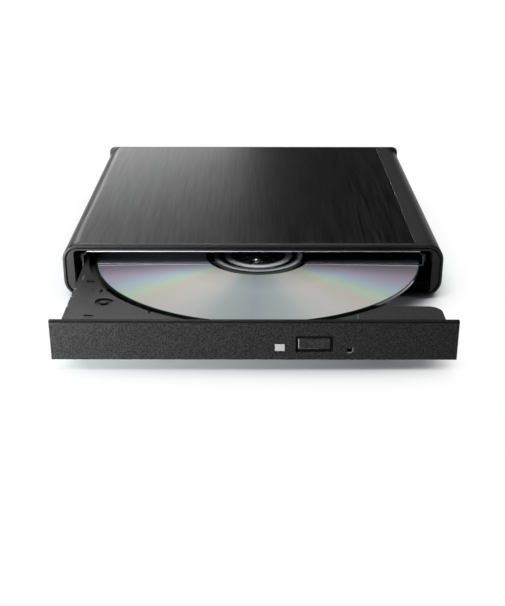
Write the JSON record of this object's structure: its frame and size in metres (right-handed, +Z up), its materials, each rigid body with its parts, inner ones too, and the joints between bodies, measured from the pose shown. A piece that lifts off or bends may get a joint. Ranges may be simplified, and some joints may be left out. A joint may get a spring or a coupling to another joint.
{
  "type": "external disc drive",
  "caption": "Slim external disc drive with a brushed metal top, its tray part way out on telescoping rails with a disc clamped on the spindle.",
  "frame": {"origin": "on the table, under the middle of the drive's bounding box as it stands with its tray 58.2 mm out", "axes": "+X to the right seen from the front, +Y to the back, +Z up"},
  "size_m": [0.1412, 0.1972, 0.0216],
  "materials": {
    "case_plastic": "fine-grained matt black moulding",
    "brushed_plate": "near-black anodised, brushed along the depth",
    "bezel_plastic": "fine-grained charcoal moulding",
    "tray_plastic": "fine-grained grey moulding",
    "sheet_steel": "zinc-plated sheet",
    "rail_steel": "rolled, lightly greased",
    "guide_plastic": "natural acetal",
    "disc_plastic": "clear over a mirror layer",
    "rubber": "matt",
    "board": "green solder mask",
    "connector_plastic": "moulded",
    "plated_shell": "tin-plated",
    "screw_steel": "blackened",
    "ground_steel": "ground and polished",
    "motor_steel": "pressed",
    "hub_plastic": "polished black moulding",
    "sled_metal": "die-cast, as cast",
    "lens_glass": "clear",
    "light_guide": "milky clear",
    "ribbon_film": "white film"
  },
  "bodies": {
    "housing": {"bottom_shell": "case_plastic", "top_shell": "case_plastic", "top_plate": "brushed_plate", "front_ring": "case_plastic", "rear_cap": "case_plastic", "rubber_feet": "rubber", "case_screws": "screw_steel", "bridge_board": "board", "bridge_connector": "connector_plastic", "usb_socket": "plated_shell", "power_jack": "connector_plastic", "drive_pan": "sheet_steel", "drive_cover": "sheet_steel", "drive_screws": "screw_steel", "drive_board": "board", "rear_connector": "connector_plastic", "latch_pin": "ground_steel", "left_rail_guide": "guide_plastic", "right_rail_guide": "guide_plastic", "flex_cable": "ribbon_film"},
    "left_rail": {"left_slide_rail": "rail_steel"},
    "right_rail": {"right_slide_rail": "rail_steel"},
    "tray": {"disc_tray": "tray_plastic", "front_bezel": "bezel_plastic", "status_lens": "light_guide", "tray_board": "board", "eject_switch": "connector_plastic", "tray_bottom": "sheet_steel", "unit_chassis": "sheet_steel", "unit_cover": "tray_plastic", "unit_dampers": "rubber", "unit_screws": "screw_steel", "spindle_stator": "motor_steel", "main_guide_rod": "ground_steel", "far_guide_rod": "ground_steel", "feed_motor": "motor_steel", "latch_solenoid": "connector_plastic", "latch_pivot": "ground_steel", "eject_spring": "ground_steel"},
    "spindle": {"turntable": "motor_steel", "friction_ring": "rubber", "clamp_hub": "hub_plastic", "hub_claws": "hub_plastic", "optical_disc": "disc_plastic"},
    "pickup": {"pickup_sled": "sled_metal", "objective_lens": "lens_glass"},
    "screw": {"lead_screw": "ground_steel"},
    "button": {"eject_button": "bezel_plastic"},
    "hook": {"latch_hook": "connector_plastic"},
    "plunger": {"eject_plunger": "ground_steel"}
  },
  "joints": [
    {"name": "tray_slide", "type": "slide", "parent": "housing", "child": "tray", "axis": [0, -1, 0], "range_m": [-0.0582, 0.069], "deforming": ["flex_cable"]},
    {"name": "left_rail_slide", "type": "slide", "parent": "housing", "child": "left_rail", "axis": [0, -1, 0], "range_m": [-0.0291, 0.0345]},
    {"name": "right_rail_slide", "type": "slide", "parent": "housing", "child": "right_rail", "axis": [0, -1, 0], "range_m": [-0.0291, 0.0345]},
    {"name": "spindle_spin", "type": "hinge", "parent": "tray", "child": "spindle", "pos_m": [0.0019, -0.0338, 0.0133], "axis": [0, 0, 1], "continuous": true},
    {"name": "pickup_travel", "type": "slide", "parent": "tray", "child": "pickup", "axis": [-0.7071, -0.7071, 0], "range_m": [0, 0.035]},
    {"name": "lead_screw_spin", "type": "hinge", "parent": "tray", "child": "screw", "pos_m": [-0.0027, -0.07163, 0.0089], "axis": [-0.7071, -0.7071, 0], "continuous": true},
    {"name": "eject_press", "type": "slide", "parent": "tray", "child": "button", "axis": [0, 1, 0], "range_m": [0, 0.0008], "stiffness_N_per_m": 600, "springref_m": -0.001},
    {"name": "latch_swing", "type": "hinge", "parent": "tray", "child": "hook", "pos_m": [0.0361, -0.0861, 0.0074], "axis": [0, 0, -1], "range_deg": [0, 9], "stiffness_Nm_per_rad": 0.002, "springref_deg": -5.73},
    {"name": "plunger_push", "type": "slide", "parent": "tray", "child": "plunger", "axis": [0, -1, 0], "range_m": [0, 0.006], "stiffness_N_per_m": 200, "springref_m": -0.001, "deforming": ["eject_spring"]}
  ],
  "couplings": [
    {"joint": "left_rail_slide", "follows": "tray_slide", "ratio": 0.5},
    {"joint": "right_rail_slide", "follows": "tray_slide", "ratio": 0.5},
    {"joint": "lead_screw_spin", "follows": "pickup_travel", "rad_per_m": 3141.6}
  ]
}
